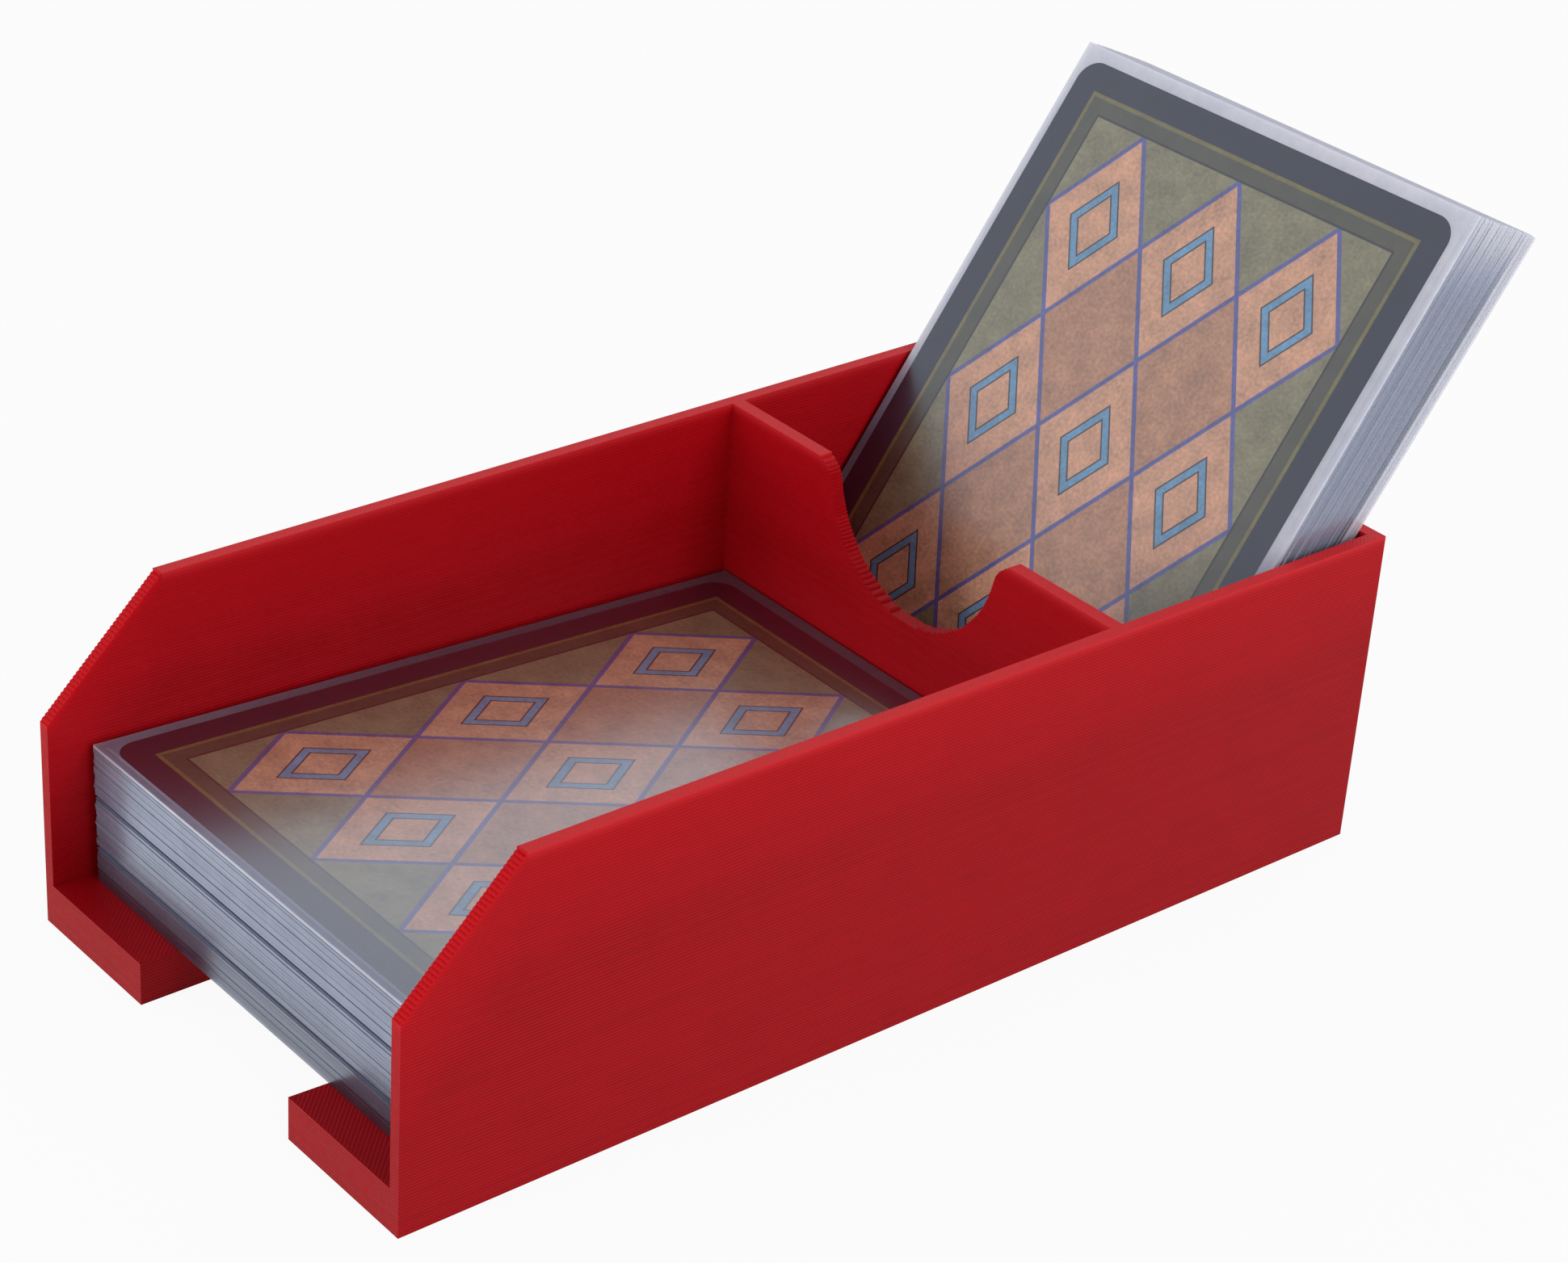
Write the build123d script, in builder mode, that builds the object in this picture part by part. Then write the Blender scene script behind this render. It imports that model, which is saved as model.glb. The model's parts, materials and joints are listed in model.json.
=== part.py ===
# Deck holder: a printed tray with a draw pile and a discard pile of sleeved cards.
# The draw pile lies on a ramp in the front bay, and the discards lean back in the rear bay.
# Frame: +X right, +Y to the rear, +Z up, in millimetres.
# The origin is the middle of the tray's underside.

import os
from math import atan2, cos, degrees, radians, sin, tan

from build123d import *

os.makedirs("parts", exist_ok=True)

# Cards and their clear sleeves
card_width = 63.0
card_length = 88.0
card_thickness = 0.30
card_corner = 3.0
film_thickness = 0.05
weld_width = 1.0  # welded edge of a sleeve, on both sides and at the closed end
pocket_side_play = 0.5  # card to weld, on each side
pocket_end_play = 0.2  # card to weld, at the closed end
pocket_face_play = 0.01  # card to film, on each face
mouth_margin = 1.8  # sleeve past the card, at the open end

# Piles
draw_count = 38
discard_count = 22
loose_count = 4  # cards at the top or front of each pile that move one by one
draw_air = 0.044  # air between sleeves of the draw pile
discard_air = 0.02  # air between the lower edges of the discards
discard_fan = 0.054  # degrees that a discard leans back more than the one in front of it
discard_slip = 0.11  # height that a discard stands above square to the one in front of it
discard_roll = 0.15  # degrees that the front discard is turned in its own plane
packet_count = 14  # cards of the draw pile that were squared up together
packet_share = 0.8  # part of a card's stray that is the stray of its packet
draw_stagger = 0.6  # how far cards of the draw pile stand forward of the rearmost ones
discard_stagger = 0.12  # how far discards stand above the lowest ones
discard_stray = 0.1  # how far discards stand to either side of their middle
discard_bias = -0.2  # how far right of the tray's middle that is
discard_slack = 0.4  # how far the cards lie to the left in the pockets of the discards

# How the cards of a pile stray: steps of a wave from card to card, and where each wave starts
packet_step = 0.6
packet_stray_start = -0.31
packet_forward_start = -0.67
draw_stray_step = 5.1
draw_stray_start = -1.2
draw_forward_step = 3.7
draw_forward_start = -0.9
discard_stray_step = 4.3
discard_stray_start = -0.65
discard_rise_step = 1.9
slow_wave = 0.37  # step of the second, slower wave against the first
slow_share = 0.4  # its share

# Tray
wall = 1.6
divider = 1.8
floor = 0.9
wall_height = 41.6
front_slope = 15.0  # height and depth of the 45 degree slope on the front of each side wall
ramp_height = 5.5  # floor at the front edge, from which the ramp falls to the divider
draw_set_back = 5.3  # front edge of the tray to the draw pile
discard_bay = 40.0  # divider to rear wall
thumb_width = 30.0  # cut-out in the floor between the two front tabs
thumb_straight = 12.0  # straight part of that cut-out, before its round end
notch_radius = 15.0
notch_shoulder = 3.5

# Fits
side_play = 1.0  # sleeve to side wall, each side
stagger_share = 0.7  # part of the side play that the cards stray by
rear_play = 0.2  # draw pile to divider
seat_gap = 0.02  # draw pile to ramp
foot_gap = 0.05  # rear discard to floor
toe_gap = 0.2  # front discard to divider
lean_gap = 0.1  # rear discard to the top edge of the rear wall

# Search for the lean of the discards, in degrees
least_lean = 5.0
most_lean = 75.0
lean_halvings = 60

# Sizes that follow
sleeve_width = card_width + 2 * (pocket_side_play + weld_width)
sleeve_length = weld_width + pocket_end_play + card_length + mouth_margin
pocket_width = sleeve_width - 2 * weld_width
pocket_depth = card_thickness + 2 * pocket_face_play
sleeved_thickness = pocket_depth + 2 * film_thickness
card_middle = weld_width + pocket_end_play + card_length / 2
draw_pitch = sleeved_thickness + draw_air
discard_pitch = sleeved_thickness + discard_air

inner_width = sleeve_width + 2 * side_play
tray_width = inner_width + 2 * wall
draw_bay = draw_set_back + sleeve_length + rear_play
tray_length = draw_bay + divider + discard_bay + wall

front_y = -tray_length / 2
divider_front = front_y + draw_bay
divider_rear = divider_front + divider
rear_inner = divider_rear + discard_bay
ramp = atan2(ramp_height - floor, draw_bay)


def uneven(number, step, start):
    """A fixed, irregular value between -1 and 1 for one card of a pile."""
    quick = sin(step * number + start)
    slow = sin(slow_wave * step * number + 2 * start)
    return (1 - slow_share) * quick + slow_share * slow


def draw_place(number):
    """Front lower edge of a sleeve of the draw pile, counted from the top, as a plane on its underside."""
    packet_wave = packet_step * (number // packet_count)
    own_stray = (1 - packet_share) * uneven(number, draw_stray_step, draw_stray_start)
    own_forward = (1 - packet_share) * uneven(number, draw_forward_step, draw_forward_start)
    stray = stagger_share * side_play * (packet_share * sin(packet_wave + packet_stray_start) + own_stray)
    forward = draw_stagger * (1 + packet_share * sin(packet_wave + packet_forward_start) + own_forward) / 2
    rear_edge = divider_front - rear_play - forward
    lift = seat_gap + (draw_count - 1 - number) * draw_pitch
    rear_height = floor + (divider_front - rear_edge) * tan(ramp) + lift / cos(ramp)
    front_edge = rear_edge - sleeve_length * cos(ramp)
    front_height = rear_height + sleeve_length * sin(ramp)
    return Plane((stray, front_edge, front_height), x_dir=(1, 0, 0), z_dir=(0, sin(ramp), cos(ramp)))


def discard_seats(rear_lean):
    """Lower front edge and lean of each discard, front one first, with the rear one against the rear wall."""
    lean = rear_lean
    z = floor + foot_gap + sleeved_thickness * sin(lean)
    y = rear_inner - (sleeved_thickness + lean_gap + (wall_height - z) * sin(lean)) / cos(lean)
    seats = []
    for number in range(discard_count):
        seats.insert(0, (y, z, lean))
        lean -= radians(discard_fan)
        y -= discard_pitch * cos(lean) + discard_slip * sin(lean)
        z += discard_pitch * sin(lean) - discard_slip * cos(lean)
    return seats


def discard_place(number):
    """Lower edge of a sleeve of the discard pile, counted from the front, as a plane on its front face."""
    y, z, lean = seats[number]
    from_rear = discard_count - 1 - number
    stray = discard_bias + discard_stray * uneven(number, discard_stray_step, discard_stray_start)
    rise = discard_stagger * abs(sin(discard_rise_step * from_rear))
    roll = radians(discard_roll) * max(0, 1 - number / loose_count)
    foot = (stray, y + rise * sin(lean), z + rise * cos(lean))
    across = (-cos(roll), -sin(roll) * sin(lean), -sin(roll) * cos(lean))
    return Plane(foot, x_dir=across, z_dir=(0, cos(lean), -sin(lean)))


# The discards lean as far back as lets the front one stand just behind the divider.
upright = radians(least_lean)
laid = radians(most_lean)
for halving in range(lean_halvings):
    rear_lean = (upright + laid) / 2
    seats = discard_seats(rear_lean)
    if seats[0][0] > divider_rear + toe_gap:
        upright = rear_lean
    else:
        laid = rear_lean

piles = {
    "draw": [draw_place(number) for number in range(draw_count)],
    "discard": [discard_place(number) for number in range(discard_count)],
}

# Tray, printed in one piece
with BuildPart() as tray:
    with BuildSketch():
        Rectangle(tray_width, tray_length)
    extrude(amount=wall_height)

    # Front bay, open at the front, with its ramp
    with BuildSketch(Plane.YZ):
        with BuildLine():
            Polyline(
                (front_y, ramp_height),
                (divider_front, floor),
                (divider_front, wall_height),
                (front_y, wall_height),
                close=True,
            )
        make_face()
    extrude(amount=inner_width / 2, both=True, mode=Mode.SUBTRACT)

    # Rear bay
    with BuildSketch(Plane.XY.offset(floor)):
        with Locations((0, divider_rear)):
            Rectangle(inner_width, discard_bay, align=(Align.CENTER, Align.MIN))
    extrude(amount=wall_height - floor, mode=Mode.SUBTRACT)

    # Sloped front ends of the side walls
    with BuildSketch(Plane.YZ):
        with BuildLine():
            Polyline(
                (front_y, wall_height - front_slope),
                (front_y + front_slope, wall_height),
                (front_y, wall_height),
                close=True,
            )
        make_face()
    extrude(amount=tray_width / 2, both=True, mode=Mode.SUBTRACT)

    # Thumb cut-out between the front tabs
    with BuildSketch():
        with Locations((0, front_y)):
            Rectangle(thumb_width, thumb_straight, align=(Align.CENTER, Align.MIN))
        with Locations((0, front_y + thumb_straight)):
            Circle(thumb_width / 2)
    extrude(amount=ramp_height, mode=Mode.SUBTRACT)

    # Finger notch in the divider, with rounded shoulders
    with BuildSketch(Plane.XZ.offset(-divider_front)):
        with Locations((0, wall_height)):
            Circle(notch_radius)
    extrude(amount=-divider, mode=Mode.SUBTRACT)
    top_edges = tray.edges().filter_by(Axis.Y).group_by(Axis.Z)[-1]
    fillet([edge for edge in top_edges if abs(edge.center().X) < notch_radius + wall / 2], notch_shoulder)

tray.part.label = "tray"
export_step(tray.part, "parts/tray.step")

# Cards in their sleeves: the loose ones by themselves, then the rest of each pile
for pile, places in piles.items():
    groups = [(f"card_{n + 1}", f"sleeve_{n + 1}", [places[n]]) for n in range(loose_count)]
    groups.append(("pile_cards", "pile_sleeves", places[loose_count:]))
    slack = discard_slack if pile == "discard" else 0
    for card_node, sleeve_node, group in groups:
        with BuildPart() as cards:
            for place in group:
                with BuildSketch(place.offset(film_thickness + pocket_face_play)):
                    with Locations((slack, card_middle)):
                        RectangleRounded(card_width, card_length, card_corner)
                extrude(amount=card_thickness)
        cards.part.label = f"{pile}_{card_node}"
        export_step(cards.part, f"parts/{pile}_{card_node}.step")

        with BuildPart() as sleeves:
            for place in group:
                with BuildSketch(place):
                    Rectangle(sleeve_width, sleeve_length, align=(Align.CENTER, Align.MIN))
                extrude(amount=sleeved_thickness)
                with BuildSketch(place.offset(film_thickness)):
                    with Locations((0, weld_width)):
                        Rectangle(pocket_width, sleeve_length - weld_width, align=(Align.CENTER, Align.MIN))
                extrude(amount=pocket_depth, mode=Mode.SUBTRACT)
        sleeves.part.label = f"{pile}_{sleeve_node}"
        export_step(sleeves.part, f"parts/{pile}_{sleeve_node}.step")

print(f"tray {tray_width:.2f} x {tray_length:.2f} x {wall_height:.2f} mm, ramp {degrees(ramp):.3f} degrees")
for pile, places in piles.items():
    for number in list(range(loose_count + 1)) + [len(places) - 1]:
        place = places[number]
        foot = ", ".join(f"{value:.3f}" for value in place.origin)
        print(f"{pile} {number + 1}: foot ({foot}), along ({place.y_dir.Y:.5f}, {place.y_dir.Z:.5f})")
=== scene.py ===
# Looks of a deck holder: a printed tray with a draw pile and a discard pile of sleeved cards.
# Metres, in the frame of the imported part: +X right, +Y to the rear, +Z up.

import json
import random
from math import cos, pi, radians, sin, sqrt

import bmesh
import bpy
import numpy as np
from mathutils import Matrix, Vector


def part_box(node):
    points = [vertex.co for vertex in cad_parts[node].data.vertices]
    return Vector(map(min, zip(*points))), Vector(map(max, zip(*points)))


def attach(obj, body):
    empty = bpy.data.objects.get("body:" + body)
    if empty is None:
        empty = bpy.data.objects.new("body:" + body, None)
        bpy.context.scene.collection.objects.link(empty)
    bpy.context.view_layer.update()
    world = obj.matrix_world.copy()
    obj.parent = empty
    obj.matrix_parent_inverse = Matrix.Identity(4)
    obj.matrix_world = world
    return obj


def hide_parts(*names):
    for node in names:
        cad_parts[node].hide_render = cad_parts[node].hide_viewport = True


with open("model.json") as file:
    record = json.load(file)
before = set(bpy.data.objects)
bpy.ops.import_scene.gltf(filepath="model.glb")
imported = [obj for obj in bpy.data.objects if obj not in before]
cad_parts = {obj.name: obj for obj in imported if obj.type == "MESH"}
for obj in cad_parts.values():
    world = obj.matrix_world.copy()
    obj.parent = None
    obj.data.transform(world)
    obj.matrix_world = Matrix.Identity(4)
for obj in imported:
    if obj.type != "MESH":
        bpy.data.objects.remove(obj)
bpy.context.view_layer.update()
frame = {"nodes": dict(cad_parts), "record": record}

mm = 0.001
tiny = 1e-6
level_normal = 0.9  # a face whose normal stands up by more is level
sharp_turn = radians(60)  # an edge whose faces turn by more is sharp
flat_turn = radians(1)  # faces that turn by less are one flat face

# Tray
wall = 1.6 * mm
divider = 1.8 * mm
floor = 0.9 * mm
front_slope = 15.0 * mm
ramp_height = 5.5 * mm
discard_bay = 40.0 * mm
thumb_width = 30.0 * mm
thumb_straight = 12.0 * mm
thumb_steps = 40
notch_radius = 15.0 * mm
notch_shoulder = 3.5 * mm
slope_layers = 37  # printed layers in the height of the slope
layer = front_slope / slope_layers
line_width = 0.45 * mm  # one printed line
edge_round = 0.5 * mm
edge_segments = 4
least_tread = 0.2 * mm  # narrower treads are left sharp
slope_tread = 0.39 * mm  # treads from this width are as wide as those of the slope, or wider
narrow_nose = 0.17 * mm  # rounding of a layer's end over a narrow tread
wide_nose = 0.37 * mm

# Cards and sleeves
card_width = 63.0 * mm
card_length = 88.0 * mm
card_thickness = 0.30 * mm
card_corner = 3.0 * mm
corner_segments = 8
sleeve_width = 66.0 * mm
sleeve_length = 91.0 * mm
sleeved_thickness = 0.42 * mm
film = 0.05 * mm
weld = 1.0 * mm
weld_least = 0.395 * mm  # least and most thickness of a sleeve's rim
weld_most = 0.42 * mm
groove_rim = 0.06 * mm  # rim of the thinnest sleeves, which leave a groove in the side of a pile
groove_share = 0.06  # part of the discards that have it
rim_round = 0.1 * mm
rim_segments = 2
packet_count = 14  # cards of the draw pile that were squared up together, with a groove between packets
loose_count = 4  # cards of each pile that are pieces of their own
pocket_slit = 0.03 * mm  # pocket's thickness where it meets the weld
card_play = 0.05 * mm  # film that lies flat past the card's sides
discard_slack = 0.4 * mm  # how far the cards lie to the left in the pockets of the discards
end_fall = 0.18 * mm  # over which a film falls from the card to the weld, at the closed end
mouth_margin = 1.8 * mm
card_centre = sleeve_length - mouth_margin - card_length / 2  # from the closed end

# Tones of the sleeves' edges and margins, from 0, dark, to 1, white, with painted light and shade: darker
# with depth in a pile, paler margins on the discards with light behind them, and some rims painted bright or
# dark
draw_top_tone = 0.6
draw_painted_shade_fall = 0.72  # painted shade, from the top of the pile down
draw_margin_tone = 0.5
discard_front_tone = 0.48
discard_painted_shade_fall = 0.12  # painted shade, from the front of the pile to its rear
discard_margin_tone = 0.95
# painted light on the margins of the rearer discards
rear_margin_painted_light = 0.05
tone_spread = 0.05  # by chance, either way
# painted light or highlight on a rim or a film that catches the light
painted_light_tone = 1.0
# painted shade on a rim
painted_shade_tone = 0.2
painted_light_count = 4  # rearmost discards whose rims get painted light, as if they catch the light
painted_shade_count = 2  # discards in front of those, whose rims get painted shade

# Print on the cards, in millimetres
back_border = 3.6
lattice_width = 50.2
lattice_length = 75.2
lattice_count = 3  # lozenges with a ring, each way
lattice_depth = 2.8  # from the border to the lozenges
face_border = 4.0
face_lozenge_width = 22.0
face_lozenge_length = 32.0
frame_start = 0.005  # first line of a frame, just inside the border
frame_span = 10.0  # depth inside the border that the lines of a frame lie in

# Stage
floor_reach = 3.0  # metres from its middle to its edges
floor_white = 0.93  # share of plain white in what is seen of the floor
tent_sides = 1.06  # strength of the light from the sides
tent_top = 0.4  # and from above
tent_opening = 0.2  # cosine of the angle to the camera where the tent's opening starts
tent_open = 0.3  # share of light that comes from the middle of the opening
lamps = (
    ("key", Vector((1.1, 0.15, 0.5)), 0.6, 5.4),
    ("fill", Vector((-0.05, -0.62, 0.2)), 0.35, 1.4),
)  # name, place, size and watts

# Camera, from a fit to the photo, which is 1941 x 1564 pixels
photo_width = 1941
focal_pixels = 4740.0
view_azimuth = radians(48.92)
view_elevation = radians(29.01)
view_roll = radians(3.92)
eye = Vector((293.75, -248.26, 247.04)) * mm
sensor = 36.0
nearest_seen = 0.01


def linear(code):
    """Linear colour of an sRGB hex code."""
    parts = [int(code[i:i + 2], 16) / 255 for i in (1, 3, 5)]
    return [c / 12.92 if c <= 0.04045 else ((c + 0.055) / 1.055) ** 2.4 for c in parts] + [1.0]


def add_node(tree, kind, inputs=None, **settings):
    """A new node with its settings. An input takes a value, a socket, or a node's first live output."""
    node = tree.nodes.new(kind)
    for name, value in settings.items():
        setattr(node, name, value)
    for key, value in (inputs or {}).items():
        live = [s for s in node.inputs if s.enabled]
        socket = live[key] if isinstance(key, int) else next(s for s in live if s.name == key)
        if isinstance(value, bpy.types.Node):
            value = next(s for s in value.outputs if s.enabled)
        if isinstance(value, bpy.types.NodeSocket):
            tree.links.new(value, socket)
        else:
            socket.default_value = value
    return node


def new_material(name):
    """An empty node material and its tree."""
    material = bpy.data.materials.new(name)
    material.use_nodes = True
    material.node_tree.nodes.clear()
    return material, material.node_tree


def set_bands(ramp, span, first, bands):
    """Makes a colour ramp plain bands: the first colour, then each colour from its place in the span on."""
    ramp.interpolation = "CONSTANT"
    ramp.elements.remove(ramp.elements[1])
    ramp.elements[0].color = linear(first)
    for place, code in bands:
        ramp.elements.new(place / span).color = linear(code)


def printed_pla():
    """PLA, printed in layers: satin, with fine level lines on its walls and slanted ones on level faces, and
    painted light towards its top edges.
    """
    last_layer = 0.8  # a face whose normal stands up by more shows the lines of the last layer
    relief_height = 0.03 * mm
    patch_width = 7.0 * mm
    grain_width = 0.6 * mm
    layer_share = 0.35  # in the shade, against patches
    grain_share = 0.4  # in the shade, against both
    painted_light_depth = 15.0 * mm  # depth under a top edge over which the wall is painted brighter
    painted_edge_light_depth = 2.0 * mm  # depth under a top edge that gets a painted highlight, as if light came through it
    painted_edge_light_power = 3.0

    material, tree = new_material("printed_red_pla")
    coords = add_node(tree, "ShaderNodeTexCoord").outputs
    place = coords["Object"]
    xyz = add_node(tree, "ShaderNodeSeparateXYZ", {0: place}).outputs
    up = add_node(tree, "ShaderNodeSeparateXYZ", {0: coords["Normal"]}).outputs["Z"]
    level_face = add_node(tree, "ShaderNodeMath", {0: up, 1: last_layer}, operation="GREATER_THAN")

    # Level lines, one per layer, and the lines of the last layer at 45 degrees
    turns = add_node(tree, "ShaderNodeMath", {0: xyz["Z"], 1: 2 * pi / layer}, operation="MULTIPLY")
    layers = add_node(tree, "ShaderNodeMath", {0: turns}, operation="SINE")
    slant = add_node(tree, "ShaderNodeMath", {0: xyz["X"], 1: xyz["Y"]}, operation="ADD")
    strokes = add_node(tree, "ShaderNodeMath", {0: slant, 1: sqrt(2) * pi / line_width}, operation="MULTIPLY")
    lines = add_node(tree, "ShaderNodeMath", {0: strokes}, operation="SINE")
    relief = add_node(tree, "ShaderNodeMix", {"Factor": level_face, "A": layers, "B": lines})
    bump = add_node(tree, "ShaderNodeBump", {"Strength": 0.35, "Distance": relief_height, "Height": relief})

    # Shade: each layer differs a little, over soft patches a few millimetres wide and a fine grain
    number = add_node(tree, "ShaderNodeMath", {0: xyz["Z"], 1: layer}, operation="DIVIDE")
    number = add_node(tree, "ShaderNodeMath", {0: number}, operation="FLOOR")
    shade = add_node(tree, "ShaderNodeTexWhiteNoise", {"W": number}, noise_dimensions="1D")
    patches = add_node(tree, "ShaderNodeTexNoise", {"Vector": place, "Scale": 1 / patch_width, "Detail": 3.0})
    grain = add_node(tree, "ShaderNodeTexNoise", {"Vector": place, "Scale": 1 / grain_width, "Detail": 2.0})
    blend = add_node(tree, "ShaderNodeMix", {"Factor": layer_share, "A": patches, "B": shade})
    blend = add_node(tree, "ShaderNodeMix", {"Factor": grain_share, "A": blend, "B": grain})
    colour = add_node(tree, "ShaderNodeMix", {
        "Factor": blend, "A": linear("#92050D"), "B": linear("#B20B18")}, data_type="RGBA")

    # Painted light: the walls are painted brighter towards their top edges, and the top edges and the sloped
    # ends of the side walls get a painted highlight, as if light came through the thin edges
    low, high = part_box("tray")
    slope = add_node(tree, "ShaderNodeMath", {0: xyz["Y"], 1: high.z - front_slope - low.y}, operation="ADD")
    brim = add_node(tree, "ShaderNodeMath", {0: slope, 1: high.z}, operation="MINIMUM")
    on_top = add_node(tree, "ShaderNodeMath", {0: slope, 1: high.z}, operation="GREATER_THAN")
    under = add_node(tree, "ShaderNodeMath", {0: brim, 1: xyz["Z"]}, operation="SUBTRACT")
    painted_light_share = add_node(tree, "ShaderNodeMapRange", {
        "Value": under, "From Max": painted_light_depth, "To Min": 0.5, "To Max": 0.0})
    colour = add_node(tree, "ShaderNodeMix", {"Factor": painted_light_share, "A": colour, "B": linear("#C60C18")},
                      data_type="RGBA")
    painted_light_share = add_node(tree, "ShaderNodeMapRange", {
        "Value": under, "From Max": painted_edge_light_depth, "To Min": 1.0, "To Max": 0.0})
    painted_light_share = add_node(tree, "ShaderNodeMath", {0: painted_light_share, 1: painted_edge_light_power}, operation="POWER")
    # Painted highlight colours, pinker on the top edges than on the sloped ends
    painted_edge_colour = add_node(tree, "ShaderNodeMix", {"Factor": on_top, "A": linear("#CC0A18"), "B": linear("#D82B32")},
                   data_type="RGBA")
    colour = add_node(tree, "ShaderNodeMix", {"Factor": painted_light_share, "A": colour, "B": painted_edge_colour}, data_type="RGBA")
    rough = add_node(tree, "ShaderNodeMapRange", {"Value": grain, "To Min": 0.35, "To Max": 0.55})
    surface = add_node(tree, "ShaderNodeBsdfPrincipled", {
        "Base Color": colour, "Roughness": rough, "IOR": 1.46, "Specular IOR Level": 0.1, "Normal": bump})
    add_node(tree, "ShaderNodeOutputMaterial", {"Surface": surface})
    return material


def inside_border(tree, xy, border):
    """Depth of a place on a card inside the border of its print, in millimetres."""
    half_width = card_width / mm / 2 - border
    half_length = card_length / mm / 2 - border
    aside = add_node(tree, "ShaderNodeMath", {0: xy["X"]}, operation="ABSOLUTE")
    along = add_node(tree, "ShaderNodeMath", {0: xy["Y"]}, operation="ABSOLUTE")
    from_side = add_node(tree, "ShaderNodeMath", {0: half_width, 1: aside}, operation="SUBTRACT")
    from_end = add_node(tree, "ShaderNodeMath", {0: half_length, 1: along}, operation="SUBTRACT")
    return add_node(tree, "ShaderNodeMath", {0: from_side, 1: from_end}, operation="MINIMUM")


def card_back():
    """Coated card, printed: a dark border, a thin gold frame and lozenges, in mottled ink with some gloss."""
    cloud_width = 4.0
    speck_width = 0.5
    speck_share = 0.35
    seam_half = 0.022  # of the way across a lozenge
    night = "#10172A"
    gold = "#8C8040"
    dark_olive = "#5A563C"
    frame_line = "#33301F"
    rose = "#F7B889"
    ring_line = "#4A4038"
    ring_blue = "#7FB2CC"

    material, tree = new_material("printed_card_back")
    spot = add_node(tree, "ShaderNodeUVMap", uv_map="print")
    xy = add_node(tree, "ShaderNodeSeparateXYZ", {0: spot}).outputs
    depth = inside_border(tree, xy, back_border)

    # Rows and columns of lozenges, with a whole one in the middle of the card
    one_width = lattice_width / lattice_count
    one_length = lattice_length / lattice_count
    wide = add_node(tree, "ShaderNodeMath", {0: xy["X"], 1: one_width}, operation="DIVIDE")
    high = add_node(tree, "ShaderNodeMath", {0: xy["Y"], 1: one_length}, operation="DIVIDE")
    wide = add_node(tree, "ShaderNodeMath", {0: wide, 1: 0.5}, operation="ADD")
    rising = add_node(tree, "ShaderNodeMath", {0: wide, 1: high}, operation="ADD")
    falling = add_node(tree, "ShaderNodeMath", {0: wide, 1: high}, operation="SUBTRACT")
    row = add_node(tree, "ShaderNodeMath", {0: rising}, operation="FLOOR")
    column = add_node(tree, "ShaderNodeMath", {0: falling}, operation="FLOOR")
    side_step = add_node(tree, "ShaderNodeMath", {0: row, 1: column}, operation="ADD")
    end_step = add_node(tree, "ShaderNodeMath", {0: row, 1: column}, operation="SUBTRACT")
    plain = add_node(tree, "ShaderNodeMath", {0: side_step, 1: 2.0}, operation="FLOORED_MODULO")
    side_step = add_node(tree, "ShaderNodeMath", {0: side_step}, operation="ABSOLUTE")
    end_step = add_node(tree, "ShaderNodeMath", {0: end_step}, operation="ABSOLUTE")
    steps = add_node(tree, "ShaderNodeMath", {0: side_step, 1: end_step}, operation="MAXIMUM")
    olive = add_node(tree, "ShaderNodeMath", {0: steps, 1: lattice_count - 0.5}, operation="GREATER_THAN")

    # Three by three with a pale blue ring, plain ones between them, and olive half ones along the frame
    rising = add_node(tree, "ShaderNodeMath", {0: rising, 1: 0.5}, operation="PINGPONG")
    falling = add_node(tree, "ShaderNodeMath", {0: falling, 1: 0.5}, operation="PINGPONG")
    within = add_node(tree, "ShaderNodeMath", {0: rising, 1: falling}, operation="MINIMUM")
    rings = add_node(tree, "ShaderNodeValToRGB", {"Fac": within})
    set_bands(rings.color_ramp, 1, rose, (
        (0.24, ring_line), (0.255, ring_blue), (0.32, ring_line), (0.335, rose)))
    fill = add_node(tree, "ShaderNodeMix", {"Factor": plain, "A": rings, "B": linear("#D99D71")},
                    data_type="RGBA")
    fill = add_node(tree, "ShaderNodeMix", {"Factor": olive, "A": fill, "B": linear("#A2976B")},
                    data_type="RGBA")
    seam = add_node(tree, "ShaderNodeMath", {0: within, 1: seam_half}, operation="LESS_THAN")
    lozenges = add_node(tree, "ShaderNodeMix", {"Factor": seam, "A": fill, "B": linear("#6A6CA8")},
                        data_type="RGBA")

    # Frame: gold line, plain olive band, thin dark line, then the lozenges
    frame_depth = add_node(tree, "ShaderNodeMapRange", {"Value": depth, "From Max": frame_span})
    bands = add_node(tree, "ShaderNodeValToRGB", {"Fac": frame_depth})
    set_bands(bands.color_ramp, frame_span, night, (
        (frame_start, gold), (0.55, dark_olive), (2.5, frame_line)))
    inside = add_node(tree, "ShaderNodeMath", {0: depth, 1: lattice_depth}, operation="GREATER_THAN")
    print_colour = add_node(tree, "ShaderNodeMix", {"Factor": inside, "A": bands, "B": lozenges},
                            data_type="RGBA")

    # Mottled ink, in cloudy patches and specks
    clouds = add_node(tree, "ShaderNodeTexNoise", {
        "Vector": spot, "Scale": 1 / cloud_width, "Detail": 5.0, "Roughness": 0.65})
    specks = add_node(tree, "ShaderNodeTexNoise", {"Vector": spot, "Scale": 1 / speck_width, "Detail": 2.0})
    mottle = add_node(tree, "ShaderNodeMix", {"Factor": speck_share, "A": clouds, "B": specks})
    mottle = add_node(tree, "ShaderNodeMapRange", {
        "Value": mottle, "From Min": 0.3, "From Max": 0.7, "To Min": 0.62, "To Max": 1.3})
    inked = add_node(tree, "ShaderNodeVectorMath", {0: print_colour, 1: mottle}, operation="MULTIPLY")
    surface = add_node(tree, "ShaderNodeBsdfPrincipled", {
        "Base Color": inked, "Roughness": 0.38, "IOR": 1.5, "Specular IOR Level": 0.35})
    add_node(tree, "ShaderNodeOutputMaterial", {"Surface": surface})
    return material


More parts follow.
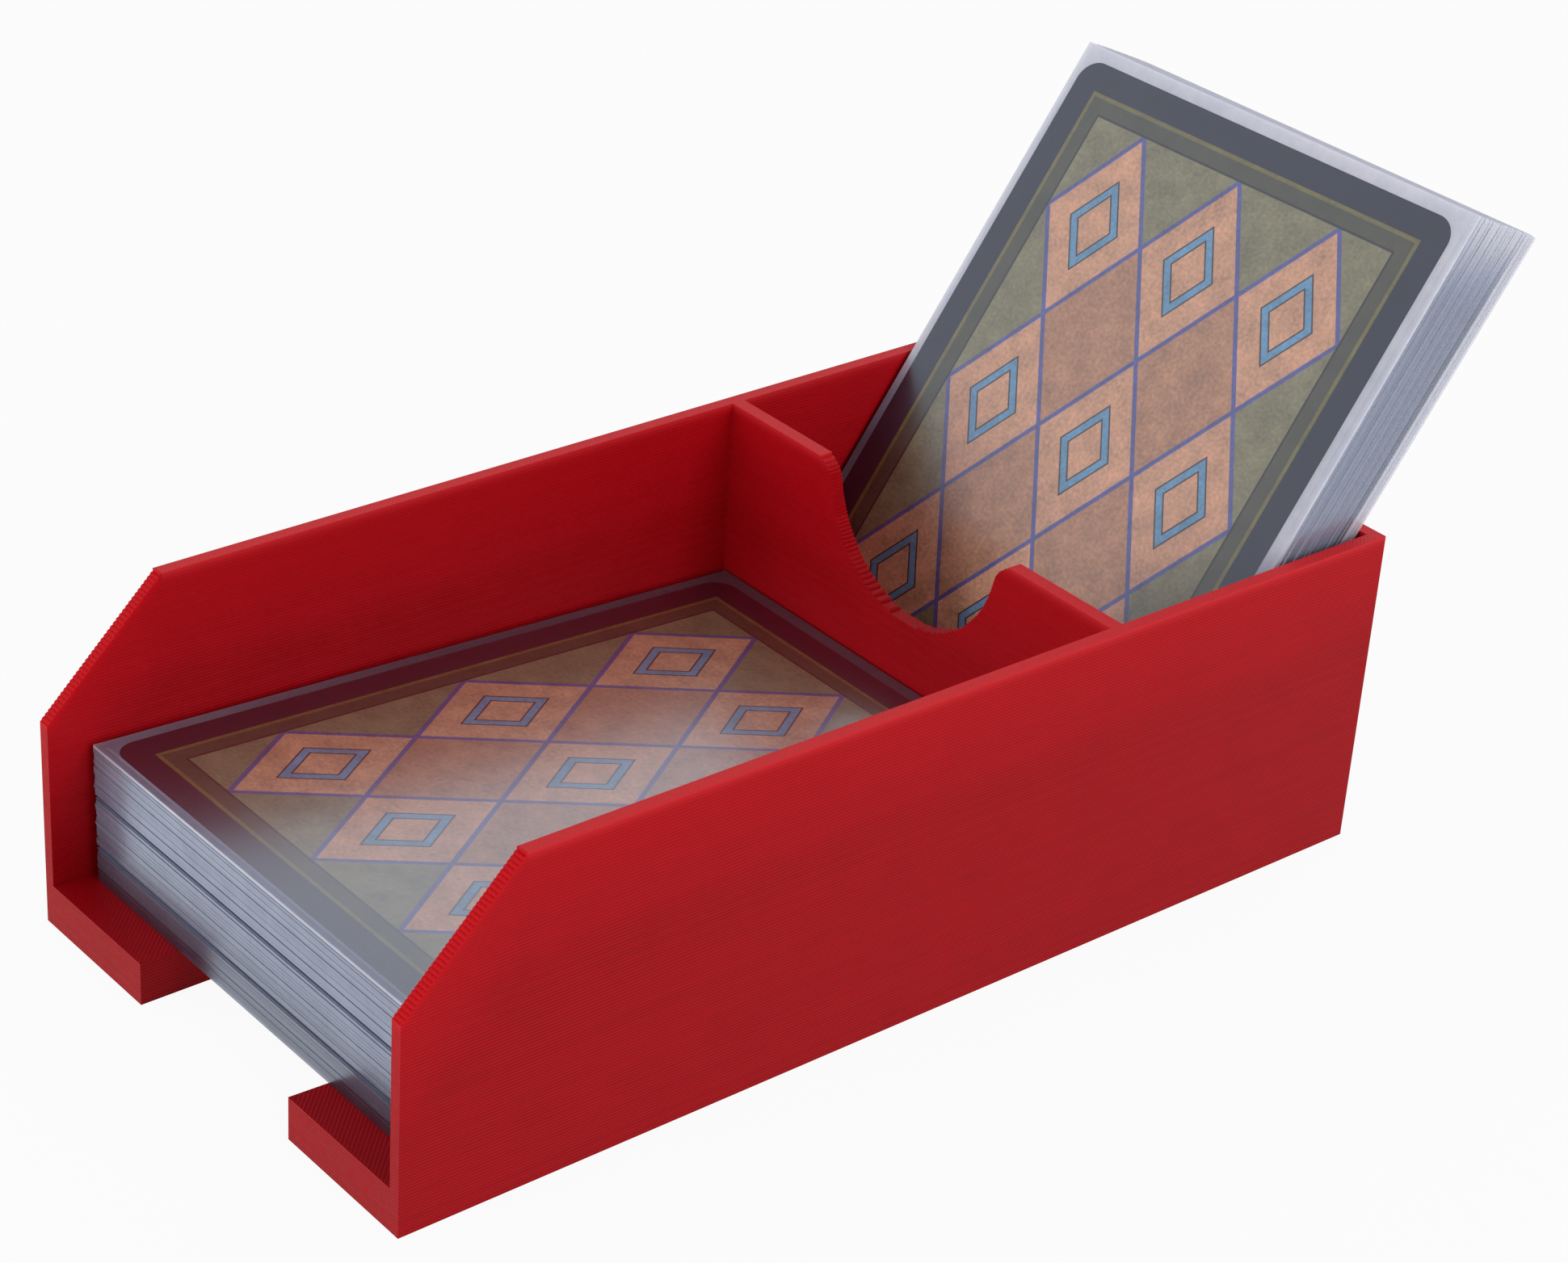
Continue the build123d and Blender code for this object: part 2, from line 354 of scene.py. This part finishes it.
def card_face():
    """Coated card, printed on its face: a pale border, a thin frame and one plain lozenge on a linen tint."""
    weave_width = 0.7
    pale = "#D9D6CC"
    grey = "#6A6E7A"
    linen = "#C4BFAE"

    material, tree = new_material("printed_card_face")
    spot = add_node(tree, "ShaderNodeUVMap", uv_map="print")
    xy = add_node(tree, "ShaderNodeSeparateXYZ", {0: spot}).outputs
    depth = inside_border(tree, xy, face_border)
    frame_depth = add_node(tree, "ShaderNodeMapRange", {"Value": depth, "From Max": frame_span})
    bands = add_node(tree, "ShaderNodeValToRGB", {"Fac": frame_depth})
    set_bands(bands.color_ramp, frame_span, pale, ((frame_start, grey), (0.5, linen)))

    # One lozenge in the middle
    wide = add_node(tree, "ShaderNodeMath", {0: xy["X"], 1: face_lozenge_width / 2}, operation="DIVIDE")
    high = add_node(tree, "ShaderNodeMath", {0: xy["Y"], 1: face_lozenge_length / 2}, operation="DIVIDE")
    wide = add_node(tree, "ShaderNodeMath", {0: wide}, operation="ABSOLUTE")
    high = add_node(tree, "ShaderNodeMath", {0: high}, operation="ABSOLUTE")
    reach = add_node(tree, "ShaderNodeMath", {0: wide, 1: high}, operation="ADD")
    lozenge = add_node(tree, "ShaderNodeMath", {0: reach, 1: 1.0}, operation="LESS_THAN")
    print_colour = add_node(tree, "ShaderNodeMix", {"Factor": lozenge, "A": bands, "B": linear("#8E3A34")},
                            data_type="RGBA")
    weave = add_node(tree, "ShaderNodeTexNoise", {"Vector": spot, "Scale": 1 / weave_width, "Detail": 3.0})
    weave = add_node(tree, "ShaderNodeMapRange", {"Value": weave, "To Min": 0.88, "To Max": 1.08})
    inked = add_node(tree, "ShaderNodeVectorMath", {0: print_colour, 1: weave}, operation="MULTIPLY")
    surface = add_node(tree, "ShaderNodeBsdfPrincipled", {
        "Base Color": inked, "Roughness": 0.4, "IOR": 1.5, "Specular IOR Level": 0.35})
    add_node(tree, "ShaderNodeOutputMaterial", {"Surface": surface})
    return material


def card_edge():
    """Cut edge of card stock: bare paper fibre, dull, with grey flecks along it."""
    fleck_width = 1.5 * mm
    material, tree = new_material("cut_card_stock")
    place = add_node(tree, "ShaderNodeTexCoord").outputs["Object"]
    flecks = add_node(tree, "ShaderNodeTexNoise", {"Vector": place, "Scale": 1 / fleck_width, "Detail": 4.0})
    colour = add_node(tree, "ShaderNodeMix", {
        "Factor": flecks, "A": linear("#9298A8"), "B": linear("#D4D7E0")}, data_type="RGBA")
    surface = add_node(tree, "ShaderNodeBsdfPrincipled", {"Base Color": colour, "Roughness": 0.85})
    add_node(tree, "ShaderNodeOutputMaterial", {"Surface": surface})
    return material


def sleeve_film():
    """Cast polypropylene film, welded into a sleeve: clear and glossy over the card, milky in its margin,
    with painted light and shade in its tones.
    """
    cloud_width = 5.0 * mm
    clear_haze = 0.012  # share of light that a face of the film scatters over the card
    margin_haze = 0.7  # and past the card
    back_lit_share = 0.4  # of scattered light, that comes through from behind
    mouth = (sleeve_length - card_centre) / mm
    mouth_fade = 12.0  # millimetres from the open end, over which painted light turns a sleeve's side pale
    mouth_fade_power = 1.5
    draw_dim_start = -44.0  # millimetres along the card, about its middle, where painted shade on a draw's film starts, growing to the rear
    draw_dim_end = 0.0
    discard_dim_start = 2.0  # and where a discard's does, at the tray's brim
    discard_dim_end = -12.0
    tray_painted_shade_share = 0.4  # share of its tone that painted shade leaves to the film inside the tray
    gloss_power = 3.0
    straight_gloss = 0.062  # share of light that is mirrored, seen straight on
    edge_gloss = 1.75  # and edge on: all of it, from before the very edge
    margin_gloss = 0.8  # share of that gloss past the card

    # Margin: all that lies outside the card's outline with its round corners
    material, tree = new_material("cast_polypropylene_film")
    spot = add_node(tree, "ShaderNodeUVMap", uv_map="pouch")
    corner = ((card_width / 2 - card_corner) / mm, (card_length / 2 - card_corner) / mm, 0)
    aside = add_node(tree, "ShaderNodeVectorMath", {0: spot}, operation="ABSOLUTE")
    aside = add_node(tree, "ShaderNodeVectorMath", {0: aside, 1: corner}, operation="SUBTRACT")
    aside = add_node(tree, "ShaderNodeVectorMath", {0: aside, 1: (0, 0, 0)}, operation="MAXIMUM")
    reach = add_node(tree, "ShaderNodeVectorMath", {0: aside}, operation="LENGTH").outputs["Value"]
    margin = add_node(tree, "ShaderNodeMath", {0: reach, 1: card_corner / mm}, operation="GREATER_THAN")

    # Haze, in soft clouds
    place = add_node(tree, "ShaderNodeTexCoord").outputs["Object"]
    clouds = add_node(tree, "ShaderNodeTexNoise", {"Vector": place, "Scale": 1 / cloud_width, "Detail": 4.0})
    clouds = add_node(tree, "ShaderNodeMapRange", {
        "Value": clouds, "From Min": 0.3, "From Max": 0.7, "To Min": 0.8, "To Max": 1.2})
    haze = add_node(tree, "ShaderNodeMapRange", {
        "Value": margin, "To Min": clear_haze, "To Max": margin_haze})
    haze = add_node(tree, "ShaderNodeMath", {0: haze, 1: clouds}, operation="MULTIPLY")

    # Each sleeve has its own tone, partly painted light and shade, and with light behind it a discard gets
    # painted light, paler towards its open end, past the card
    shade = add_node(tree, "ShaderNodeAttribute", attribute_name="shade").outputs["Fac"]
    along = add_node(tree, "ShaderNodeSeparateXYZ", {0: spot}).outputs["Y"]
    open_end = add_node(tree, "ShaderNodeMapRange", {
        "Value": along, "From Min": mouth - mouth_fade, "From Max": mouth - mouth_margin / mm})
    open_end = add_node(tree, "ShaderNodeMath", {0: open_end, 1: mouth_fade_power}, operation="POWER")
    behind = add_node(tree, "ShaderNodeAttribute", attribute_name="light_behind").outputs["Fac"]
    open_end = add_node(tree, "ShaderNodeMath", {0: open_end, 1: behind}, operation="MULTIPLY")

    # Painted shade: inside the tray the outermost film is darker, to the rear on a draw, and below the brim
    # on a discard
    rearward = add_node(tree, "ShaderNodeMapRange", {
        "Value": along, "From Min": draw_dim_start, "From Max": draw_dim_end})
    downward = add_node(tree, "ShaderNodeMapRange", {
        "Value": along, "From Min": discard_dim_end, "From Max": discard_dim_start,
        "To Min": 1.0, "To Max": 0.0})
    in_tray = add_node(tree, "ShaderNodeMix", {"Factor": behind, "A": rearward, "B": downward})
    outermost = add_node(tree, "ShaderNodeAttribute", attribute_name="outermost").outputs["Fac"]
    in_tray = add_node(tree, "ShaderNodeMath", {0: in_tray, 1: outermost}, operation="MULTIPLY")
    painted_tray_shade = add_node(tree, "ShaderNodeMapRange", {"Value": in_tray, "To Min": 1.0, "To Max": tray_painted_shade_share})
    shade = add_node(tree, "ShaderNodeMath", {0: shade, 1: painted_tray_shade}, operation="MULTIPLY")
    pale = add_node(tree, "ShaderNodeMapRange", {"Value": open_end, "To Min": shade, "To Max": painted_light_tone})

    # Milky where it scatters light from both of its sides, and clear elsewhere
    colour = add_node(tree, "ShaderNodeValToRGB", {"Fac": pale})
    tones = colour.color_ramp.elements
    tones[0].color = linear("#23283A")
    tones[1].color = linear("#F6F6FB")
    tones.new(0.6).color = linear("#A9B3CB")
    clear = add_node(tree, "ShaderNodeBsdfTransparent", {"Color": linear("#F8FAFF")})
    front_lit = add_node(tree, "ShaderNodeBsdfDiffuse", {"Color": colour})
    back_lit = add_node(tree, "ShaderNodeBsdfTranslucent", {"Color": colour})
    milky = add_node(tree, "ShaderNodeMixShader", {0: back_lit_share, 1: front_lit, 2: back_lit})
    inner = add_node(tree, "ShaderNodeMixShader", {0: haze, 1: clear, 2: milky})

    # A film mirrors at both of its faces, so the outer one stands for both: more at a flat angle
    tilt = add_node(tree, "ShaderNodeLayerWeight", {"Blend": 0.5}).outputs["Facing"]
    tilt = add_node(tree, "ShaderNodeMath", {0: tilt, 1: gloss_power}, operation="POWER")
    mirrored = add_node(tree, "ShaderNodeMapRange", {
        "Value": tilt, "To Min": straight_gloss, "To Max": edge_gloss})
    inside = add_node(tree, "ShaderNodeNewGeometry").outputs["Backfacing"]
    outside = add_node(tree, "ShaderNodeMath", {0: 1.0, 1: inside}, operation="SUBTRACT")
    mirrored = add_node(tree, "ShaderNodeMath", {0: mirrored, 1: outside}, operation="MULTIPLY")
    dulled = add_node(tree, "ShaderNodeMapRange", {"Value": margin, "To Min": 1.0, "To Max": margin_gloss})
    mirrored = add_node(tree, "ShaderNodeMath", {0: mirrored, 1: dulled}, operation="MULTIPLY")
    gloss = add_node(tree, "ShaderNodeBsdfGlossy", {"Color": linear("#EAF0FF"), "Roughness": 0.26})
    surface = add_node(tree, "ShaderNodeMixShader", {0: mirrored, 1: inner, 2: gloss})
    add_node(tree, "ShaderNodeOutputMaterial", {"Surface": surface})
    return material


def new_piece(name, bm, body, node, materials):
    """A finished piece from a bmesh, riding on a body in place of a CAD node."""
    mesh = bpy.data.meshes.new(name)
    bm.to_mesh(mesh)
    bm.free()
    for material in materials:
        mesh.materials.append(material)
    piece = bpy.data.objects.new(name, mesh)
    bpy.context.scene.collection.objects.link(piece)
    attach(piece, body)
    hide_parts(node)
    return piece


def raise_faces(bm, faces, height, underside=False):
    """Extrudes faces straight up to a height and returns the new tops. The old faces can stay underneath."""
    made = bmesh.ops.extrude_face_region(bm, geom=faces)["geom"]
    for part in made:
        if isinstance(part, bmesh.types.BMVert):
            part.co.z = height
    if not underside:
        bmesh.ops.delete(bm, geom=faces, context="FACES")
    return [part for part in made if isinstance(part, bmesh.types.BMFace)]


def cut_faces(bm, faces, point, normal):
    """Cuts faces along a plane, in the same order in each run."""
    edges = dict.fromkeys(edge for face in faces for edge in face.edges)
    verts = dict.fromkeys(vert for face in faces for vert in face.verts)
    bmesh.ops.bisect_plane(bm, geom=[*verts, *edges, *faces], dist=tiny, plane_co=point, plane_no=normal)


def notch_half_width(depth):
    """Half the width of the divider's finger notch at a depth under its top edge."""
    reach = notch_radius + notch_shoulder
    shoulder_end = notch_radius * notch_shoulder / reach
    if depth > shoulder_end:
        return sqrt(notch_radius ** 2 - depth ** 2)
    return sqrt(reach ** 2 - notch_shoulder ** 2) - sqrt(notch_shoulder ** 2 - (notch_shoulder - depth) ** 2)


def build_tray():
    """The printed tray, raised layer by layer where its slopes and its notch show the layers."""
    low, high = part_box("tray")
    side, front, rear, top = high.x, low.y, high.y, high.z
    inner = side - wall
    rear_inner = rear - wall
    divider_rear = rear_inner - discard_bay
    divider_front = divider_rear - divider
    ramp_fall = (ramp_height - floor) / (divider_front - front)
    foot = top - front_slope

    def in_divider(face):
        return divider_front < face.calc_center_median().y < divider_rear

    def in_side(face):
        return abs(face.calc_center_median().x) > inner

    def at_foot():
        return [face for face in bm.faces if face.calc_center_median().z > foot - tiny]

    # Plan with the thumb cut-out, marked out into floors and walls
    bm = bmesh.new()
    thumb = thumb_width / 2
    thumb_end = front + thumb_straight
    first = bm.verts.new((thumb, thumb_end, 0))
    arc = bmesh.ops.spin(bm, geom=[first], cent=(0, thumb_end, 0), axis=(0, 0, 1), angle=pi,
                         steps=thumb_steps)
    last = next(part for part in arc["geom_last"] if isinstance(part, bmesh.types.BMVert))
    corners = ((-thumb, front), (-side, front), (-side, rear), (side, rear), (side, front), (thumb, front))
    outline = [last, *(bm.verts.new((x, y, 0)) for x, y in corners), first]
    for start, end in zip(outline, outline[1:]):
        bm.edges.new((start, end))
    bmesh.ops.contextual_create(bm, geom=bm.edges[:])
    for x in (-inner, inner):
        cut_faces(bm, bm.faces[:], (x, 0, 0), (1, 0, 0))
    for y in (divider_front, divider_rear, rear_inner):
        cut_faces(bm, bm.faces[:], (0, y, 0), (0, 1, 0))

    # Floors, with the ramp in the front bay
    tops = raise_faces(bm, bm.faces[:], floor, underside=True)
    for vert in {vert for face in tops for vert in face.verts}:
        vert.co.z += max(0, divider_front - vert.co.y) * ramp_fall

    # Walls up to the foot of the slopes and the notch
    walls = [f for f in tops if in_side(f) or in_divider(f) or f.calc_center_median().y > rear_inner]
    raise_faces(bm, walls, foot)

    # Then a layer at a time, each one ending where the slope and the notch are at half its height
    slope_ends = [front + (i + 0.5) * layer for i in range(slope_layers)]
    notch_ends = [notch_half_width(front_slope - (i + 0.5) * layer) for i in range(slope_layers)]
    for y in slope_ends:
        cut_faces(bm, [f for f in at_foot() if in_side(f)], (0, y, 0), (0, 1, 0))
    for x in notch_ends:
        for sign in (-1, 1):
            between = [f for f in at_foot() if in_divider(f) and not in_side(f)]
            cut_faces(bm, between, (sign * x, 0, 0), (1, 0, 0))
    level = at_foot()
    for i in range(slope_layers):
        kept = [f for f in level if f.calc_center_median().y > slope_ends[i]
                and (in_side(f) or not in_divider(f) or abs(f.calc_center_median().x) > notch_ends[i])]
        level = raise_faces(bm, kept, foot + (i + 1) * layer)
    bmesh.ops.recalc_face_normals(bm, faces=bm.faces[:])
    bmesh.ops.dissolve_limit(bm, angle_limit=flat_turn, verts=bm.verts[:], edges=bm.edges[:])

    # Rounded edges: first the noses of the layers where their treads leave room, then the long edges
    def outer_edges():
        return [e for e in bm.edges if e.is_manifold and e.is_convex and e.calc_face_angle() > sharp_turn]

    def tread_width(edge):
        low_end, high_end = sorted(vert.co.z for vert in edge.verts)
        treads = [f for f in edge.link_faces if abs(f.normal.z) > level_normal]
        stepped = foot - tiny < low_end and high_end < top - tiny and high_end - low_end < tiny
        across = wall - tiny < edge.calc_length() < divider + tiny
        return treads[0].calc_area() / edge.calc_length() if stepped and across and treads else 0

    def is_rim(edge):
        lowest = min(vert.co.z for vert in edge.verts)
        return lowest > top - tiny or lowest < foot - tiny and edge.calc_length() > wall / 2

    def round_edges(edges, size):
        bmesh.ops.bevel(bm, geom=edges, offset=size, offset_type="OFFSET", segments=edge_segments,
                        profile=0.5, affect="EDGES", clamp_overlap=True, material=-1)

    round_edges([e for e in outer_edges() if least_tread < tread_width(e) < slope_tread], narrow_nose)
    round_edges([e for e in outer_edges() if tread_width(e) > slope_tread], wide_nose)
    round_edges([e for e in outer_edges() if is_rim(e)], edge_round)
    bmesh.ops.remove_doubles(bm, verts=bm.verts[:], dist=tiny)
    bmesh.ops.recalc_face_normals(bm, faces=bm.faces[:])
    return bm


def places_of(node):
    """Centre and directions of each flat solid of a CAD node: X across, Y along it and Z out of its back."""
    bm = bmesh.new()
    bm.from_mesh(frame["nodes"][node].data)
    bmesh.ops.remove_doubles(bm, verts=bm.verts[:], dist=tiny)
    left = set(bm.verts)
    places = []
    for first in bm.verts:
        if first not in left:
            continue

        # The points of one solid, found along its edges: the list grows while it is read
        found = [first]
        left.remove(first)
        for vert in found:
            for edge in vert.link_edges:
                other = edge.other_vert(vert)
                if other in left:
                    left.remove(other)
                    found.append(other)

        # It is thinnest out of its back and longest along it
        points = np.array([vert.co for vert in found])
        directions = np.linalg.eigh(np.cov(points.T))[1]
        out = Vector(directions[:, 0])
        along = Vector(directions[:, 2])
        out *= 1 if out.z - out.y > 0 else -1
        along *= 1 if along.z + along.y > 0 else -1
        turn = Matrix((along.cross(out), along, out)).transposed()
        inside = points @ np.array(turn)
        middle = turn @ Vector((inside.min(0) + inside.max(0)) / 2)
        places.append(Matrix.Translation(middle) @ turn.to_4x4())
    bm.free()
    return sorted(places, key=lambda place: place.translation.z - place.translation.y)


def gather(parts):
    """One bmesh of several, each moved to its place."""
    whole = bmesh.new()
    mesh = bpy.data.meshes.new("gathered")
    for bm, place in parts:
        bm.transform(place)
        bm.to_mesh(mesh)
        bm.free()
        whole.from_mesh(mesh)
    bpy.data.meshes.remove(mesh)
    return whole


def build_card():
    """One card about its own centre, with the place on it in millimetres as its UV map."""
    bm = bmesh.new()
    lower = Matrix.Translation((0, 0, -card_thickness / 2))
    size = Matrix.Diagonal((card_width / 2, card_length / 2, 1, 1))
    bmesh.ops.create_grid(bm, x_segments=1, y_segments=1, size=1, matrix=lower @ size)
    bmesh.ops.bevel(bm, geom=bm.verts[:], offset=card_corner, offset_type="OFFSET", segments=corner_segments,
                    profile=0.5, affect="VERTICES", material=-1)
    raised = bmesh.ops.extrude_face_region(bm, geom=bm.faces[:], use_keep_orig=True)["geom"]
    bmesh.ops.translate(bm, vec=(0, 0, card_thickness),
                        verts=[part for part in raised if isinstance(part, bmesh.types.BMVert)])
    bmesh.ops.recalc_face_normals(bm, faces=bm.faces[:])
    prints = bm.loops.layers.uv.new("print")
    back, front, edge = range(3)
    for face in bm.faces:
        if abs(face.normal.z) < level_normal:
            face.material_index = edge
        else:
            face.material_index = back if face.normal.z > 0 else front
        for loop in face.loops:
            loop[prints].uv = loop.vert.co.xy / mm
    return bm


def film_bag(bm, half_width, start, crown, rim, card_middle):
    """A bag of film about a card, open at its far end. Its faces fall from the card's thickness to a rim."""
    end = sleeve_length
    middle = Matrix.Translation((0, (start + end) / 2, 0))
    size = Matrix.Diagonal((2 * half_width, end - start, crown, 1))
    verts = bmesh.ops.create_cube(bm, size=1, matrix=middle @ size)["verts"]
    faces = {face for vert in verts for face in vert.link_faces}
    mouth = [face for face in faces if face.calc_center_median().y > end - tiny]
    bmesh.ops.delete(bm, geom=mouth, context="FACES_ONLY")

    # Creases at the card's sides and along the weld, in the faces of this bag alone
    weld_line = sleeve_width / 2 - weld
    for sign in (-1, 1):
        for x in (sign * weld_line, card_middle + sign * (card_width / 2 + card_play)):
            if abs(x) < half_width - tiny:
                cut_faces(bm, [face for face in bm.faces if not face.tag], (x, 0, 0), (1, 0, 0))
    for y in (weld, weld + end_fall):
        if y > start + tiny:
            cut_faces(bm, [face for face in bm.faces if not face.tag], (0, y, 0), (0, 1, 0))
    for vert in {vert for face in bm.faces if not face.tag for vert in face.verts}:
        if abs(vert.co.x) > weld_line - tiny or vert.co.y < weld + tiny:
            vert.co.z *= rim / crown


def build_pouch(rim, tone, margin_tone, light_behind, outermost, card_middle):
    """One sleeve, its closed end towards -Y, with a pocket, its painted tone of light and shade, and the
    place about its card in mm.
    """
    bm = bmesh.new()
    shade = bm.faces.layers.float.new("shade")
    behind = bm.faces.layers.float.new("light_behind")
    outer_layer = bm.faces.layers.float.new("outermost")
    spots = bm.loops.layers.uv.new("pouch")

    # The pocket, turned inside out, then the outside with its rounded rims
    film_bag(bm, sleeve_width / 2 - weld, weld, sleeved_thickness - 2 * film, pocket_slit, card_middle)
    bmesh.ops.recalc_face_normals(bm, faces=bm.faces[:])
    bmesh.ops.reverse_faces(bm, faces=bm.faces[:])
    for face in bm.faces:
        face.tag = True
    film_bag(bm, sleeve_width / 2, 0, sleeved_thickness, rim, card_middle)
    bm.normal_update()
    outer = [edge for edge in bm.edges if edge.is_manifold and not edge.link_faces[0].tag]
    rims = [edge for edge in outer if edge.calc_face_angle() > sharp_turn]
    bmesh.ops.bevel(bm, geom=rims, offset=rim_round, offset_type="OFFSET", segments=rim_segments,
                    profile=0.5, affect="EDGES", clamp_overlap=True, material=-1)
    bmesh.ops.remove_doubles(bm, verts=bm.verts[:], dist=tiny)
    bmesh.ops.dissolve_degenerate(bm, dist=tiny, edges=bm.edges[:])
    bmesh.ops.bridge_loops(bm, edges=[edge for edge in bm.edges if edge.is_boundary])
    bm.normal_update()

    for face in bm.faces:
        face[shade] = tone if abs(face.normal.z) < level_normal else margin_tone
        face[behind] = light_behind
        face[outer_layer] = outermost
        for loop in face.loops:
            x, y = loop.vert.co.xy
            loop[spots].uv = ((x - card_middle) / mm, (y - card_centre) / mm)
    bmesh.ops.translate(bm, vec=(0, -sleeve_length / 2, 0), verts=bm.verts[:])
    return bm


def build_pouches(node):
    """The sleeves of a node, lowest or rearmost first, with painted shade darker with depth, and with grooves
    between packets.
    """
    chance = random.Random(node)
    places = places_of(node)
    drawn = node.startswith("draw")
    palest = draw_top_tone if drawn else discard_front_tone
    fall = draw_painted_shade_fall if drawn else discard_painted_shade_fall
    card_middle = 0 if drawn else -discard_slack
    light_behind = 0 if drawn else 1
    outermost = 1 if node in ("draw_sleeve_1", "discard_sleeve_1") else 0
    pouches = []
    for i, place in enumerate(places):
        depth = 1 - (i + 1) / len(places)
        tone = palest - fall * depth ** 2 + chance.uniform(-tone_spread, tone_spread)
        margin_tone = draw_margin_tone if drawn else discard_margin_tone + rear_margin_painted_light * depth
        number = loose_count + len(places) - 1 - i

        # The outermost film gets a painted highlight, as if it catches the light
        if outermost:
            tone = painted_light_tone

        # So do the rearmost discards, with painted shade on the rims in front of them
        if node == "discard_pile_sleeves" and i < painted_light_count + painted_shade_count:
            tone = painted_light_tone if i < painted_light_count else painted_shade_tone

        grooved = number % packet_count == 0 if drawn and len(places) > 1 else chance.random() < groove_share
        rim = groove_rim if grooved else chance.uniform(weld_least, weld_most)
        pouches.append((build_pouch(rim, tone, margin_tone, light_behind, outermost, card_middle), place))
    return gather(pouches)


# Pieces, each on its own body
tray_finish = [printed_pla()]
card_finish = [card_back(), card_face(), card_edge()]
sleeve_finish = [sleeve_film()]
for body, nodes in frame["record"]["behaviour"]["bodies"].items():
    for node in nodes:
        if node == "tray":
            new_piece("tray_printed", build_tray(), body, node, tray_finish)
        elif "sleeve" in node:
            new_piece(f"{node}_film", build_pouches(node), body, node, sleeve_finish)
        else:
            cards = gather([(build_card(), place) for place in places_of(node)])
            new_piece(f"{node}_printed", cards, body, node, card_finish)


def seen_plainly(tree):
    """1 for what is seen straight on, or in a mirror or through glass, and 0 for what only gives light."""
    path = add_node(tree, "ShaderNodeLightPath").outputs
    seen = add_node(tree, "ShaderNodeMath", {0: path["Is Camera Ray"], 1: path["Is Glossy Ray"]},
                    operation="MAXIMUM")
    return add_node(tree, "ShaderNodeMath", {0: seen, 1: path["Is Transmission Ray"]}, operation="MAXIMUM")


def build_floor():
    """A pale floor. What is seen of it is mostly plain white, with a trace of its own shade."""
    material, tree = new_material("pale_floor")
    share = add_node(tree, "ShaderNodeMath", {0: seen_plainly(tree), 1: floor_white}, operation="MULTIPLY")
    shaded = add_node(tree, "ShaderNodeBsdfDiffuse", {"Color": linear("#F2F2F2")})
    white = add_node(tree, "ShaderNodeEmission", {"Color": linear("#FFFFFF"), "Strength": 1.0})
    both = add_node(tree, "ShaderNodeMixShader", {0: share, 1: shaded, 2: white})
    add_node(tree, "ShaderNodeOutputMaterial", {"Surface": both})
    bm = bmesh.new()
    bmesh.ops.create_grid(bm, x_segments=1, y_segments=1, size=floor_reach)
    mesh = bpy.data.meshes.new("floor")
    bm.to_mesh(mesh)
    bm.free()
    mesh.materials.append(material)
    ground = bpy.data.objects.new("floor", mesh)
    bpy.context.scene.collection.objects.link(ground)


def build_world(back):
    """A white tent of light, brighter at its sides than above, and open towards the camera."""
    world = bpy.data.worlds.new("studio")
    world.use_nodes = True
    tree = world.node_tree
    tree.nodes.clear()
    toward = add_node(tree, "ShaderNodeTexCoord").outputs["Generated"]
    height = add_node(tree, "ShaderNodeSeparateXYZ", {0: toward}).outputs["Z"]
    tent = add_node(tree, "ShaderNodeMapRange", {"Value": height, "To Min": tent_sides, "To Max": tent_top})
    ahead = add_node(tree, "ShaderNodeVectorMath", {0: toward, 1: back}, operation="DOT_PRODUCT")
    opening = add_node(tree, "ShaderNodeMapRange", {
        "Value": ahead.outputs["Value"], "From Min": tent_opening, "To Min": 1.0, "To Max": tent_open})
    tent = add_node(tree, "ShaderNodeMath", {0: tent, 1: opening}, operation="MULTIPLY")
    strength = add_node(tree, "ShaderNodeMix", {"Factor": seen_plainly(tree), "A": tent, "B": 1.0})
    sky = add_node(tree, "ShaderNodeBackground", {"Color": linear("#FFFFFF"), "Strength": strength})
    add_node(tree, "ShaderNodeOutputWorld", {"Surface": sky})
    bpy.context.scene.world = world


def build_stage():
    """Pale floor and world that look white, soft lamps, and the camera at the photo's angle."""
    scene = bpy.context.scene
    scene.view_settings.view_transform = "Standard"
    level_part = cos(view_elevation)
    back = Vector((sin(view_azimuth) * level_part, -cos(view_azimuth) * level_part, sin(view_elevation)))
    level = Vector((cos(view_azimuth), sin(view_azimuth), 0))
    right = cos(view_roll) * level + sin(view_roll) * back.cross(level)
    build_floor()
    build_world(back)

    for name, spot, size, watts in lamps:
        lamp = bpy.data.lights.new(name, "AREA")
        lamp.size = size
        lamp.energy = watts
        holder = bpy.data.objects.new(name, lamp)
        holder.location = spot
        holder.rotation_euler = (-spot).to_track_quat("-Z", "Y").to_euler()
        scene.collection.objects.link(holder)

    lens = bpy.data.cameras.new("camera")
    lens.sensor_width = sensor
    lens.lens = focal_pixels * sensor / photo_width
    lens.clip_start = nearest_seen
    camera = bpy.data.objects.new("camera", lens)
    turn = Matrix((right, back.cross(right), back)).transposed()
    camera.matrix_world = Matrix.Translation(eye) @ turn.to_4x4()
    scene.collection.objects.link(camera)
    scene.camera = camera


build_stage()
